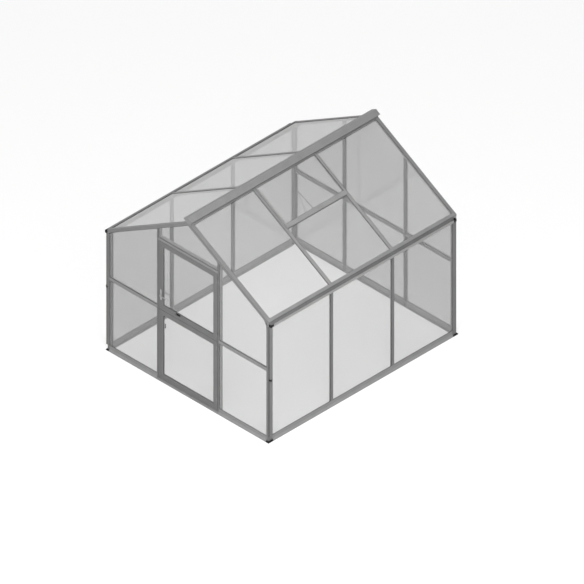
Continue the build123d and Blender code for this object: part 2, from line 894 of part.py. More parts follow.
def leaf_glass(bottom, top):
    inset = leaf_frame_width - leaf_glass_bite
    with BuildPart() as glass:
        with BuildSketch(leaf_plane(leaf_glass_depth + glass_thickness - seal_thickness / 2)):
            pane(inset - leaf_half, bottom + inset, leaf_half - inset, top - inset)
        extrude(amount=glass_thickness - seal_thickness)
    return glass.part


lower_top = leaf_split - leaf_gap / 2
upper_bottom = leaf_split + leaf_gap / 2

with BuildPart() as lower_door_frame:
    add(leaf_frame(leaf_bottom, lower_top))
save(lower_door_frame, "lower_door_frame")

with BuildPart() as lower_door_glass:
    add(leaf_glass(leaf_bottom, lower_top))
save(lower_door_glass, "lower_door_glass")

with BuildPart() as upper_door_frame:
    add(leaf_frame(upper_bottom, leaf_top))
save(upper_door_frame, "upper_door_frame")

with BuildPart() as upper_door_glass:
    add(leaf_glass(upper_bottom, leaf_top))
save(upper_door_glass, "upper_door_glass")

# Lift-off hinges: the lower knuckle is the post's and carries the pin, the upper one is the leaf's
plate_height = 2 * knuckle_length + knuckle_gap


# side is -1 for the leaf's half and +1 for the post's half
def hinge_half(height, side):
    knuckle_foot = height + knuckle_gap / 2 if side < 0 else height - knuckle_gap / 2 - knuckle_length
    plate_start = hinge_radius + hinge_plate_gap
    with BuildPart() as half:
        with BuildSketch(Plane.XY.offset(knuckle_foot)):
            with Locations((hinge_x, hinge_y)):
                Circle(hinge_radius)
            with Locations((hinge_x + side * plate_start / 2, -half_length - hinge_plate / 2)):
                Rectangle(plate_start, hinge_plate)
        extrude(amount=knuckle_length)
        with BuildSketch(Plane.XY.offset(height - plate_height / 2)):
            plate_x = hinge_x + side * (plate_start + hinge_plate_width / 2)
            with Locations((plate_x, -half_length - hinge_plate / 2)):
                Rectangle(hinge_plate_width, hinge_plate)
        extrude(amount=plate_height)
        if side < 0:
            with BuildSketch(Plane.XY.offset(knuckle_foot)):
                with Locations((hinge_x, hinge_y)):
                    Circle(pin_radius + pin_clearance)
            extrude(amount=knuckle_length, mode=Mode.SUBTRACT)
        else:
            with BuildSketch(Plane.XY.offset(knuckle_foot)):
                with Locations((hinge_x, hinge_y)):
                    Circle(pin_radius)
            extrude(amount=plate_height)
    return half.part


with BuildPart() as post_hinges:
    for height in hinge_heights:
        add(hinge_half(height, 1))
save(post_hinges, "post_hinges")

with BuildPart() as lower_door_hinges:
    for height in hinge_heights:
        if height < leaf_split:
            add(hinge_half(height, -1))
save(lower_door_hinges, "lower_door_hinges")

with BuildPart() as upper_door_hinges:
    for height in hinge_heights:
        if height > leaf_split:
            add(hinge_half(height, -1))
save(upper_door_hinges, "upper_door_hinges")

# Lever handles on both faces of the upper leaf, each on a plate over the left stile
handle_x = leaf_frame_width / 2 - leaf_half
handle_height = upper_bottom + handle_lift


# direction is -1 for the outer face and +1 for the inner face
def lever_handle(direction):
    face_y = -half_length if direction < 0 else leaf_thickness - half_length
    plate_width, plate_length, plate_depth = handle_plate
    root = Vector(handle_x, face_y + direction * plate_depth, handle_height)
    turn = root + Vector(0, direction * lever_standoff, 0)
    pad_left = leaf_step - leaf_half
    pad_width = handle_x + plate_width / 2 - pad_left
    recess = leaf_step_depth if direction < 0 else leaf_thickness - leaf_flange_back
    with BuildPart() as handle:
        with BuildSketch(Plane(origin=(0, face_y, 0), x_dir=(1, 0, 0), z_dir=(0, direction, 0))):
            with Locations((handle_x, -direction * handle_height)):
                SlotOverall(plate_length, plate_width, rotation=90)
        extrude(amount=plate_depth)
        with BuildSketch(Plane(origin=(0, face_y, 0), x_dir=(1, 0, 0), z_dir=(0, -direction, 0))):
            with Locations((pad_left + pad_width / 2, direction * handle_height)):
                Rectangle(pad_width, plate_length - plate_width)
        extrude(amount=recess)
        with BuildLine():
            lever_path = FilletPolyline(root, turn, turn + Vector(lever_length, 0, 0), radius=lever_bend)
        with BuildSketch(Plane(origin=root, z_dir=(0, direction, 0))):
            Circle(lever_radius)
        sweep(path=lever_path)
        with BuildSketch(Plane(origin=root, z_dir=(0, direction, 0))):
            Circle(lever_collar)
        extrude(amount=plate_depth)
    return handle.part


with BuildPart() as door_handles:
    add(lever_handle(-1))
    add(lever_handle(1))
save(door_handles, "door_handles")

# Latches: a pull on the upper leaf's bottom rail, a slide bolt inside the lower leaf
with BuildPart() as upper_door_latch:
    latch_length, latch_height, latch_depth = latch_size
    latch_z = upper_bottom + leaf_frame_width - latch_height / 2
    with BuildSketch(leaf_plane(leaf_step_depth)):
        with Locations((upper_latch_x, latch_z)):
            RectangleRounded(latch_length, latch_height, latch_round)
    extrude(amount=latch_depth)
save(upper_door_latch, "upper_door_latch")

with BuildPart() as lower_door_latch:
    bolt_width, bolt_length, bolt_depth = bolt_size
    with BuildSketch(leaf_plane(leaf_flange_back + bolt_depth)):
        with Locations((leaf_step + bolt_width / 2 - leaf_half, lower_latch_height)):
            RectangleRounded(bolt_width, bolt_length, latch_round)
    extrude(amount=bolt_depth)
save(lower_door_latch, "lower_door_latch")

# Roof vent, built shut on the roof plane: its own sill bar, frame, pane and opener
vent_high = slope_length - vent_top
vent_half = vent_width / 2
sill_half = side_post_spacing / 2 - roof_bar_width / 2

with BuildPart() as vent_sill:
    sill_end = eave_point + up_slope * vent_sill_middle - Vector(0, sill_half, 0)
    extrude(bar_section(bar_plane(sill_end, (0, 1, 0), roof_out)), amount=2 * sill_half)
save(vent_sill, "vent_sill")

with BuildPart() as vent_frame:
    with BuildSketch(roof):
        pane(-vent_half, vent_low, vent_half, vent_high)
    extrude(amount=vent_thickness)
    with BuildSketch(roof):
        pane(
            vent_stile - vent_half,
            vent_low + vent_bottom_rail,
            vent_half - vent_stile,
            vent_high - vent_top_rail,
        )
    extrude(amount=vent_thickness, mode=Mode.SUBTRACT)
    with BuildSketch(roof.offset(vent_glass_height)):
        pane(
            vent_stile - vent_half - vent_slot,
            vent_low + vent_bottom_rail - vent_slot,
            vent_half - vent_stile + vent_slot,
            vent_high - vent_top_rail + vent_slot,
        )
    extrude(amount=glass_thickness, mode=Mode.SUBTRACT)
save(vent_frame, "vent_frame")

with BuildPart() as vent_glass:
    with BuildSketch(roof.offset(vent_glass_height + seal_thickness / 2)):
        pane(
            vent_stile - vent_half - vent_glass_bite,
            vent_low + vent_bottom_rail - vent_glass_bite,
            vent_half - vent_stile + vent_glass_bite,
            vent_high - vent_top_rail + vent_glass_bite,
        )
    extrude(amount=glass_thickness - seal_thickness)
save(vent_glass, "vent_glass")


# Round bar between two points given on the roof plane: along the house, up the slope, outwards
def roof_rod(start, end, radius):
    start_point = roof.from_local_coords(Vector(start))
    end_point = roof.from_local_coords(Vector(end))
    run = end_point - start_point
    with BuildPart() as rod:
        with BuildSketch(Plane(origin=start_point, z_dir=run)):
            Circle(radius)
        extrude(amount=run.length)
    return rod.part


with BuildPart() as vent_opener:
    knee = (0, slope_length - opener_knee, -opener_drop)
    pin_slope = vent_low + bar_width + opener_bracket / 2 + opener_gap
    rail_pin = (0, pin_slope, -opener_pin_drop)
    side_pin = (-opener_spread, pin_slope, -opener_pin_drop)
    for pin in (rail_pin, side_pin):
        with BuildSketch(roof):
            with Locations((pin[0], pin_slope)):
                Rectangle(opener_bracket, opener_bracket)
        extrude(amount=-opener_pin_drop - opener_rod)
    add(roof_rod(rail_pin, knee, opener_radius))
    add(roof_rod(side_pin, knee, opener_rod))
    knee_left = (-opener_bracket / 2, knee[1], knee[2])
    knee_right = (opener_bracket / 2, knee[1], knee[2])
    add(roof_rod(knee_left, knee_right, opener_radius))
save(vent_opener, "vent_opener")
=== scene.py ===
# Glass greenhouse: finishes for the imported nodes, with seals, screws, nuts and latch trim around them.
# Lengths are in metres, +Z is up and the door gable faces -Y.
import math

import bmesh
import bpy
from mathutils import Matrix, Vector


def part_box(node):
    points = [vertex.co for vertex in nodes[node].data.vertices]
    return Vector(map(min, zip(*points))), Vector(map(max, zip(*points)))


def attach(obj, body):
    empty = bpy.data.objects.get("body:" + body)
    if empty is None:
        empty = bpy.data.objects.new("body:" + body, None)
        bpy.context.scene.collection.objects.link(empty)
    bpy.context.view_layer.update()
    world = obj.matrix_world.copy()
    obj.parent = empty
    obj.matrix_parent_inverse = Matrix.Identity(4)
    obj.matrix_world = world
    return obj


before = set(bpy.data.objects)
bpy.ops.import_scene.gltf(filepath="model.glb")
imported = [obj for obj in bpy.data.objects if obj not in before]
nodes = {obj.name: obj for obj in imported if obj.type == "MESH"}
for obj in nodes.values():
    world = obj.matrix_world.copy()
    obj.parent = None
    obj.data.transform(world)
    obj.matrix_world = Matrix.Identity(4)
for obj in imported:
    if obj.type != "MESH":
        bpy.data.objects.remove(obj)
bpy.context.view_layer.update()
scene = bpy.context.scene
print("frame loaded:", len(nodes), "nodes")

mm = 0.001


# Camera: a true isometric view from the near right corner
cameraSetup = {
    "right": Vector((1, 1, 0)).normalized(),
    "up": Vector((-1, 1, 2)).normalized(),
    "back": Vector((1, -1, 1)).normalized(),
    "aside": 0.116,  # how far the middle of the picture lies right of the origin
    "above": 0.5795,
    "distance": 14.0,
    "frameWidth": 6.774,  # metres across the square picture
    "reach": 100.0,  # nothing past this far from the camera is drawn
}


def addCamera(setup):
    lens = bpy.data.cameras.new("isometricCamera")
    lens.type = "ORTHO"
    lens.ortho_scale = setup["frameWidth"]
    lens.clip_end = setup["reach"]
    camera = bpy.data.objects.new("isometricCamera", lens)
    scene.collection.objects.link(camera)
    turn = Matrix((setup["right"], setup["up"], setup["back"])).transposed().to_4x4()
    middle = setup["right"] * setup["aside"] + setup["up"] * setup["above"]
    camera.matrix_world = Matrix.Translation(middle + setup["back"] * setup["distance"]) @ turn
    scene.camera = camera


addCamera(cameraSetup)
scene.view_settings.view_transform = "Standard"
print("camera set")

socketNames = {
    "color": "Base Color",
    "metallic": "Metallic",
    "roughness": "Roughness",
    "normal": "Normal",
    "ior": "IOR",
    "transmission": "Transmission Weight",
    "specular": "Specular IOR Level",
}


# Shader nodes of one material or of the world; a value may be a number or another node's output
class NodeGraph:
    def __init__(self, owner, shader="Principled BSDF"):
        owner.use_nodes = True
        self.owner = owner
        self.tree = owner.node_tree
        self.shader = self.tree.nodes[shader]

    def feed(self, node, socket, value):
        if isinstance(value, bpy.types.NodeSocket):
            self.tree.links.new(value, node.inputs[socket])
        else:
            node.inputs[socket].default_value = value

    def add(self, kind, inputs=(), **settings):
        node = self.tree.nodes.new(kind)
        for key, value in settings.items():
            setattr(node, key, value)
        for socket, value in dict(inputs).items():
            self.feed(node, socket, value)
        return node

    def set(self, **values):
        for socket, value in values.items():
            self.feed(self.shader, socketNames[socket], value)

    def place(self):
        return self.add("ShaderNodeTexCoord").outputs["Object"]

    def stretched(self, place, scale):
        return self.add("ShaderNodeMapping", {"Vector": place, "Scale": scale}).outputs["Vector"]

    def noise(self, place, scale, detail, roughness=0.5):
        inputs = {"Vector": place, "Scale": scale, "Detail": detail, "Roughness": roughness}
        return self.add("ShaderNodeTexNoise", inputs).outputs["Fac"]

    def spread(self, value, ends, within=(0.0, 1.0)):
        inputs = {"Value": value, "From Min": within[0], "From Max": within[1]}
        inputs.update({"To Min": ends[0], "To Max": ends[1]})
        return self.add("ShaderNodeMapRange", inputs).outputs["Result"]

    def bump(self, height, strength, distance):
        inputs = {"Height": height, "Strength": strength, "Distance": distance}
        return self.add("ShaderNodeBump", inputs).outputs["Normal"]

    def larger(self, first, second):
        return self.add("ShaderNodeMath", {0: first, 1: second}, operation="MAXIMUM").outputs[0]

    # 1 for what the camera sees, straight, by gloss or through glass, and 0 for light that falls on things
    def seenRays(self):
        rays = self.add("ShaderNodeLightPath").outputs
        direct = self.larger(rays["Is Camera Ray"], rays["Is Glossy Ray"])
        return self.larger(direct, rays["Is Transmission Ray"])


def grey(level):
    return (level, level, level, 1)


# Mill-finish aluminium: long draw lines from the die, cloudy oxide and a little sheen
barFinish = {
    "tone": (0.225, 0.285),
    "metallic": 0.4,
    "roughness": (0.4, 0.54),
    "drawLines": 900.0,  # lines in a metre across the bar
    "linesAlong": 3.0,
    "lineShare": 0.3,  # how much the lines colour the metal, beside the clouds
    "lineDepth": 0.12,
    "relief": 0.2 * mm,
    "cloudScale": 7.0,
    "contrast": (0.3, 0.7),
}
# Posts, downpipes and door frames: the same aluminium made darker, as painted shade for their upright faces
postPaintedShadeFinish = {**barFinish, "tone": (0.15, 0.195)}
# Rafters and roof trims: the same aluminium made darker, as painted shade
rafterPaintedShadeFinish = {**barFinish, "tone": (0.175, 0.225)}
trimPaintedShadeFinish = {**barFinish, "tone": (0.195, 0.245)}
# Gutters: the same aluminium made lighter, as painted light that fills the shadow in their channels
gutterPaintedLightFinish = {**barFinish, "tone": (0.28, 0.34)}


# The grain is the axis that the bar runs along: 0 for X, 1 for Y and 2 for Z
def makeAluminium(name, finish, grain):
    graph = NodeGraph(bpy.data.materials.new(name))
    place = graph.place()
    squeeze = Vector([finish["drawLines"]] * 3)
    squeeze[grain] = finish["linesAlong"]
    lines = graph.noise(graph.stretched(place, squeeze), scale=1.0, detail=2.0)
    cloud = graph.noise(place, finish["cloudScale"], detail=5.0, roughness=0.6)
    blend = {"Factor": finish["lineShare"], "A": cloud, "B": lines}
    both = graph.add("ShaderNodeMix", blend, data_type="FLOAT").outputs["Result"]
    graph.set(
        color=graph.spread(both, finish["tone"], finish["contrast"]),
        metallic=finish["metallic"],
        roughness=graph.spread(cloud, finish["roughness"], finish["contrast"]),
        normal=graph.bump(lines, finish["lineDepth"], finish["relief"]),
    )
    return graph.owner


# Clear 4 mm pane: slightly grey, with a film of dust and the faintest waviness of drawn glass
paneFinish = {
    "tint": 0.64,
    "clear": 0.9,
    "roughness": 0.0,
    "ior": 1.45,
    "waveScale": 1.6,
    "waveDepth": 0.02,
    "relief": 1 * mm,
}


def makeGlass(name, finish):
    graph = NodeGraph(bpy.data.materials.new(name))
    wave = graph.noise(graph.place(), finish["waveScale"], detail=1.0)
    graph.set(
        color=grey(finish["tint"]),
        roughness=finish["roughness"],
        ior=finish["ior"],
        transmission=finish["clear"],
        normal=graph.bump(wave, finish["waveDepth"], finish["relief"]),
    )
    return graph.owner


# Black moulded plastic with a fine spark-eroded grain
plasticFinish = {
    "color": 0.008,
    "roughness": (0.45, 0.6),
    "specular": 0.15,
    "grainScale": 900.0,
    "grainDepth": 0.25,
    "relief": 0.2 * mm,
    "patchScale": 18.0,
}
# Black rubber of the glazing seals and the dark joints between mitred bars
rubberFinish = {
    **plasticFinish,
    "color": 0.045,
    "roughness": (0.6, 0.75),
    "specular": 0.4,
    "grainScale": 400.0,
    "grainDepth": 0.1,
}


def makePlastic(name, finish):
    graph = NodeGraph(bpy.data.materials.new(name))
    place = graph.place()
    grain = graph.noise(place, finish["grainScale"], detail=2.0)
    patch = graph.noise(place, finish["patchScale"], detail=3.0)
    graph.set(
        color=grey(finish["color"]),
        roughness=graph.spread(patch, finish["roughness"]),
        specular=finish["specular"],
        normal=graph.bump(grain, finish["grainDepth"], finish["relief"]),
    )
    return graph.owner


# Brushed steel of the levers, and zinc-plated screws and nuts
steelFinish = {
    "color": 0.42,
    "roughness": (0.24, 0.38),
    "brushLines": 1400.0,
    "linesAlong": 20.0,
    "lineDepth": 0.08,
    "relief": 0.1 * mm,
}
zincFinish = {
    **steelFinish,
    "color": 0.5,
    "roughness": (0.3, 0.42),
    "brushLines": 2200.0,
    "lineDepth": 0.05,
}


def makeSteel(name, finish):
    graph = NodeGraph(bpy.data.materials.new(name))
    across = finish["brushLines"]
    squeeze = (finish["linesAlong"], across, across)
    brush = graph.noise(graph.stretched(graph.place(), squeeze), scale=1.0, detail=2.0)
    graph.set(
        color=grey(finish["color"]),
        metallic=1.0,
        roughness=graph.spread(brush, finish["roughness"]),
        normal=graph.bump(brush, finish["lineDepth"], finish["relief"]),
    )
    return graph.owner


materials = {
    "barAlongX": makeAluminium("barAlongX", barFinish, 0),
    "barAlongY": makeAluminium("barAlongY", barFinish, 1),
    # The upright material is the bars' aluminium made darker, as painted shade
    "barUprightPaintedShade": makeAluminium("barUprightPaintedShade", postPaintedShadeFinish, 2),
    # The rafter and trim materials are darker copies of the aluminium, which is painted shade
    "rafter": makeAluminium("rafterBarPaintedShade", rafterPaintedShadeFinish, 0),
    "trim": makeAluminium("roofTrimPaintedShade", trimPaintedShadeFinish, 1),
    # The gutter material is a lighter copy of the aluminium, which is painted light
    "gutter": makeAluminium("gutterSheetPaintedLight", gutterPaintedLightFinish, 1),
    "pane": makeGlass("clearPane", paneFinish),
    "plastic": makePlastic("blackPlastic", plasticFinish),
    "steel": makeSteel("leverSteel", steelFinish),
    "rubber": makePlastic("sealRubber", rubberFinish),
    "zinc": makeSteel("zincPlate", zincFinish),
}

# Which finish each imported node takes
nodeFinish = {
    "barAlongX": (
        "front_sills door_threshold rear_sill roof_rafters front_mid_rails rear_mid_rails door_lintel "
        "vent_opener ridge_end_plates"
    ),
    "barAlongY": "side_sills ridge_beam vent_frame vent_sill",
    # Rafters and trims take the darker copies of the aluminium, which is painted shade
    "rafter": "front_rafters rear_rafters",
    "trim": "ridge_cap eave_trims",
    # Gutters take the lighter copy of the aluminium, which is painted light
    "gutter": "left_gutter right_gutter",
    # Uprights take the darker copy of the aluminium, which is painted shade
    "barUprightPaintedShade": (
        "corner_posts side_wall_posts door_posts rear_gable_posts gussets downpipes post_hinges "
        "upper_door_frame lower_door_frame upper_door_hinges lower_door_hinges"
    ),
    "pane": (
        "left_wall_glass right_wall_glass left_roof_glass right_roof_glass front_glass door_head_glass "
        "rear_outer_glass rear_middle_glass upper_door_glass lower_door_glass vent_glass"
    ),
    "plastic": "corner_feet gutter_fittings upper_door_latch lower_door_latch",
    "steel": "door_handles",
}


def dressNodes(finishes):
    for finish, names in finishes.items():
        for name in names.split():
            mesh = nodes[name].data
            mesh.materials.clear()
            mesh.materials.append(materials[finish])
    for name in finishes["pane"].split():
        nodes[name].visible_shadow = False  # the lamps reach the bars behind the glass
    bare = [name for name, piece in nodes.items() if len(piece.data.materials) != 1]
    print("nodes dressed, left bare:", bare)


dressNodes(nodeFinish)


# The frame's measures are read to a thousandth of a millimetre
def measured(value):
    return round(value, 6)


def lowOf(node, axis):
    return measured(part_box(node)[0]["xyz".index(axis)])


def highOf(node, axis):
    return measured(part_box(node)[1]["xyz".index(axis)])


def middleOf(node, axis):
    return (lowOf(node, axis) + highOf(node, axis)) / 2


# Measures of the house that the small parts are laid on
barHalf = 17 * mm  # half of a glazing bar's width
house = {
    "halfWidth": highOf("side_wall_posts", "x"),
    "halfLength": highOf("rear_gable_posts", "y"),
    "eave": 1709 * mm,
    "pitch": math.radians(30),
    "postEdge": highOf("front_mid_rails", "x"),  # gable face of a corner post, inner edge
    "wallEdge": highOf("side_sills", "y"),  # side face of a corner post, inner edge
    "barSpacing": highOf("side_wall_posts", "y") - barHalf,  # side bars and roof bars, from the middle
    "barDepth": highOf("rear_gable_posts", "y") - lowOf("rear_gable_posts", "y"),
    "roofBarEdge": highOf("roof_rafters", "y"),
    "roofEnd": highOf("ridge_beam", "y"),
    "sillTop": highOf("side_sills", "z"),
    "carrier": highOf("side_wall_posts", "z"),
    "railLow": lowOf("front_mid_rails", "z"),
    "railHigh": highOf("front_mid_rails", "z"),
    "jambOuter": highOf("door_posts", "x"),
    "jambInner": highOf("door_lintel", "x"),
    "lintelTop": highOf("door_lintel", "z"),
    "rearPost": highOf("rear_gable_posts", "x") - barHalf,
    "rafterFace": 46.2 * mm,  # plumb height of a gable rafter's face
}


def roofHeight(x):
    return house["eave"] + (house["halfWidth"] - abs(x)) * math.tan(house["pitch"])


def rafterUnder(x):
    return roofHeight(x) - house["rafterFace"]


# How far up the slope from the eave a point of the right roof lies
def slopeReach(x):
    return measured((house["halfWidth"] - x) / math.cos(house["pitch"]))


# Place on a face: u and v lie in it, and the third direction points outwards
def facePlace(origin, u, v):
    u, v = Vector(u), Vector(v)
    return Matrix.Translation(origin) @ Matrix((u, v, u.cross(v))).transposed().to_4x4()


cosPitch, sinPitch = math.cos(house["pitch"]), math.sin(house["pitch"])
faces = {
    "right": facePlace((house["halfWidth"], 0, 0), (0, 1, 0), (0, 0, 1)),
    "left": facePlace((-house["halfWidth"], 0, 0), (0, -1, 0), (0, 0, 1)),
    "front": facePlace((0, -house["halfLength"], 0), (1, 0, 0), (0, 0, 1)),
    "rear": facePlace((0, house["halfLength"], 0), (-1, 0, 0), (0, 0, 1)),
    "rightRoof": facePlace((house["halfWidth"], 0, house["eave"]), (0, 1, 0), (-cosPitch, 0, sinPitch)),
    "leftRoof": facePlace((-house["halfWidth"], 0, house["eave"]), (0, -1, 0), (cosPitch, 0, sinPitch)),
}
turnedRound = Matrix.Rotation(math.pi, 4, "X")


def onFace(face, u, v, height=0.0):
    return faces[face] @ Matrix.Translation((u, v, height))


def behindFace(face, u, v, depth):
    return onFace(face, u, v, -depth) @ turnedRound


def inMetres(*points):
    return [(first * mm, second * mm) for first, second in points]


def rectangle(left, bottom, right, top):
    return [(left, bottom), (right, bottom), (right, top), (left, top)]


# Builders of small parts: each adds to one mesh, which becomes one piece
# A turned part is its number of sides, and a profile of radius and height from the face up
def addTurned(mesh, place, part):
    sides, profile = part
    rings = []
    for radius, height in profile:
        if radius == 0:
            rings.append([mesh.verts.new(place @ Vector((0, 0, height)))])
            continue
        turns = [2 * math.pi * step / sides for step in range(sides)]
        ring = [Vector((radius * math.cos(turn), radius * math.sin(turn), height)) for turn in turns]
        rings.append([mesh.verts.new(place @ point) for point in ring])
    for lower, upper in zip(rings, rings[1:]):
        for step in range(sides):
            after = (step + 1) % sides
            loop = [
                lower[step % len(lower)],
                lower[after % len(lower)],
                upper[after % len(upper)],
                upper[step % len(upper)],
            ]
            mesh.faces.new(list(dict.fromkeys(loop)))


def addBlock(mesh, place, size):
    bmesh.ops.create_cube(mesh, size=1.0, matrix=place @ Matrix.Diagonal((*size, 1)))


# Outline moved inwards by a width; the outline runs anticlockwise
def shrunk(outline, width):
    points = [Vector(point) for point in outline]
    moved = []
    for index, point in enumerate(points):
        before = (point - points[index - 1]).normalized()
        after = (points[(index + 1) % len(points)] - point).normalized()
        first, second = Vector((-before.y, before.x)), Vector((-after.y, after.x))
        moved.append(point + (first + second) * width / (1 + first.dot(second)))
    return moved


def addRim(mesh, place, outline, width, low, high):
    inner = shrunk(outline, width)
    loops = []
    for line, height in ((outline, low), (outline, high), (inner, high), (inner, low)):
        loops.append([mesh.verts.new(place @ Vector((point[0], point[1], height))) for point in line])
    for index, loop in enumerate(loops):
        following = loops[(index + 1) % len(loops)]
        for corner in range(len(loop)):
            after = (corner + 1) % len(loop)
            mesh.faces.new([loop[corner], loop[after], following[after], following[corner]])


# Joint line between two mitred bars, as wide and as thick as this
mitreLine = {"width": 0.8 * mm, "thickness": 0.2 * mm}


def addMitre(mesh, face, start, end, height, line=mitreLine):
    start, end = Vector(start), Vector(end)
    run = end - start
    middle = (start + end) / 2
    turn = Matrix.Rotation(math.atan2(run.y, run.x), 4, "Z")
    size = (run.length, line["width"], line["thickness"])
    addBlock(mesh, onFace(face, middle.x, middle.y, height) @ turn, size)


def makePiece(name, mesh, finish, body="root"):
    bmesh.ops.recalc_face_normals(mesh, faces=mesh.faces)
    data = bpy.data.meshes.new(name)
    mesh.to_mesh(data)
    mesh.free()
    data.materials.append(materials[finish])
    piece = bpy.data.objects.new(name, data)
    scene.collection.objects.link(piece)
    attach(piece, body)


# Roof vent: the edges and rails of its frame, measured up the slope, and the screws in its bottom rail
ventShape = {
    "half": highOf("vent_frame", "y"),
    "low": slopeReach(highOf("vent_sill", "x")),
    "high": slopeReach(lowOf("vent_frame", "x")),
    "stile": 18 * mm,
    "bottomRail": 55 * mm,
    "topRail": 18 * mm,
    "top": 24 * mm,
    "screws": (-420 * mm, -210 * mm, 0, 210 * mm, 420 * mm),
}

# Rubber glazing seals: a lip on both sides of every pane, along the bars that hold it
sealShape = {
    "width": 4 * mm,
    "outer": (-3.5 * mm, -1 * mm),
    "inner": (-9.5 * mm, -7.5 * mm),
    "innerWidth": 5 * mm,
    "seatStep": 3 * mm,  # the inner lip starts further out, at the bar's seat
    "roofLow": 30 * mm,
    "roofHigh": 1460 * mm,
    "ventSill": 856 * mm,  # top of the right roof's middle bay
    "eaveNotch": 1279 * mm,  # where the gable's glass turns from the carrier to the rafter
    "ventOuter": (16 * mm, 18.5 * mm),
    "ventInner": (10 * mm, 12 * mm),
}


def wallBays(face):
    bar, end = house["barSpacing"], house["wallEdge"]
    edges = [(-end, -bar - barHalf), (barHalf - bar, bar - barHalf), (bar + barHalf, end)]
    return [(face, rectangle(start, house["sillTop"], stop, house["carrier"])) for start, stop in edges]


def roofBays(face, shape):
    bar, end = house["barSpacing"], house["roofEnd"]
    half = house["roofBarEdge"] - bar
    low, high = shape["roofLow"], shape["roofHigh"]
    middleTop = shape["ventSill"] if face == "rightRoof" else high
    return [
        (face, rectangle(-end, low, -bar - half, high)),
        (face, rectangle(half - bar, low, bar - half, middleTop)),
        (face, rectangle(bar + half, low, end, high)),
    ]


def gableBays(face, inner, half, bottom, shape):
    sill, low, high, edge = house["sillTop"], house["railLow"], house["railHigh"], house["postEdge"]
    notch = shape["eaveNotch"]
    underRails = [rectangle(inner, sill, edge, low), rectangle(-edge, sill, -inner, low)]
    outer = [
        (inner, high),
        (edge, high),
        (edge, house["carrier"]),
        (notch, rafterUnder(notch)),
        (inner, rafterUnder(inner)),
    ]
    middle = [
        (-half, bottom),
        (half, bottom),
        (half, rafterUnder(half)),
        (0, rafterUnder(0)),
        (-half, rafterUnder(half)),
    ]
    mirrored = [(-x, z) for x, z in reversed(outer)]
    return [(face, bay) for bay in (*underRails, outer, mirrored, middle)]


def sealPanes(shape):
    rearInner, rearOuter = house["rearPost"] - barHalf, house["rearPost"] + barHalf
    bays = wallBays("right") + wallBays("left") + roofBays("rightRoof", shape) + roofBays("leftRoof", shape)
    bays += gableBays("front", house["jambOuter"], house["jambInner"], house["lintelTop"], shape)
    bays += gableBays("rear", rearOuter, rearInner, house["railHigh"], shape)
    bays.append(("rear", rectangle(-rearInner, house["sillTop"], rearInner, house["railLow"])))
    mesh = bmesh.new()
    for face, outline in bays:
        addRim(mesh, faces[face], outline, shape["width"], *shape["outer"])
        addRim(mesh, faces[face], shrunk(outline, -shape["seatStep"]), shape["innerWidth"], *shape["inner"])
    makePiece("glazingSeals", mesh, "rubber")
    print("panes sealed:", len(bays))


def sealVent(shape, vent):
    side = vent["half"] - vent["stile"]
    daylight = rectangle(-side, vent["low"] + vent["bottomRail"], side, vent["high"] - vent["topRail"])
    mesh = bmesh.new()
    for lip in ("ventOuter", "ventInner"):
        addRim(mesh, faces["rightRoof"], daylight, shape["width"], *shape[lip])
    makePiece("ventSeals", mesh, "rubber")
    print("vent sealed")


sealPanes(sealShape)
sealVent(sealShape, ventShape)

# Door leaves: seals round the panes and fine dark lines where the rims are mitred
leafShape = {
    "frame": 67 * mm,
    "step": 30 * mm,
    "stepDepth": 3 * mm,
    "flangeBack": 22 * mm,
    "back": 30 * mm,
    "sealWidth": 4 * mm,
    "sealOuter": (-14.25 * mm, -11.5 * mm),
    "sealInner": (-20 * mm, -17.75 * mm),
    "nodes": {"lower_leaf": "lower_door_frame", "upper_leaf": "upper_door_frame"},
}


def dressLeaf(body, shape):
    node, width = shape["nodes"][body], shape["frame"]
    half, bottom, top = highOf(node, "x"), lowOf(node, "z"), highOf(node, "z")
    daylight = rectangle(width - half, bottom + width, half - width, top - width)
    mesh = bmesh.new()
    addRim(mesh, faces["front"], daylight, shape["sealWidth"], *shape["sealOuter"])
    addRim(mesh, faces["front"], daylight, shape["sealWidth"], *shape["sealInner"])
    makePiece(body + "Seals", mesh, "rubber", body)
    mesh = bmesh.new()
    for side in (-1, 1):
        for edge, inwards in ((bottom, 1), (top, -1)):
            insets = (0, shape["step"], width)
            rim, step, pane = [(side * (half - inset), edge + inwards * inset) for inset in insets]
            addMitre(mesh, "front", rim, step, 0)
            addMitre(mesh, "front", step, pane, -shape["stepDepth"])
            addMitre(mesh, "front", rim, step, -shape["back"])
            addMitre(mesh, "front", step, pane, -shape["flangeBack"])
    makePiece(body + "Mitres", mesh, "rubber", body)


for leaf in leafShape["nodes"]:
    dressLeaf(leaf, leafShape)
print("leaves dressed")

# Fasteners, as turned parts
screwHead = (14, inMetres((4, 0), (4, 0.6), (3.2, 1.5), (1.6, 1.8), (1.6, 0.9), (0, 0.9)))
flatHead = (14, inMetres((3.6, 0), (3.4, 0.35), (1.5, 0.35), (1.5, -0.4), (0, -0.4)))
nutShape = {
    "washer": (16, inMetres((7, 0), (7, 1), (3, 1))),
    "nut": (6, inMetres((5.8, 1), (5.8, 5.5), (3.1, 6))),
    "thread": (10, inMetres((2.9, 1), (2.9, 8), (2.2, 9), (0, 9))),
}


def addNut(mesh, place, shape=nutShape):
    for part in shape.values():
        addTurned(mesh, place, part)


# Hinge plates are screwed to the leaf and to the post, three flat heads in each
hingeScrews = {
    "heights": {"lower_leaf": (190 * mm, 920 * mm), "upper_leaf": (1095 * mm, 1868 * mm)},
    "leafX": 463.5 * mm,
    "postX": 496.5 * mm,
    "plate": 3 * mm,
    "rise": (-20 * mm, 0, 20 * mm),
}


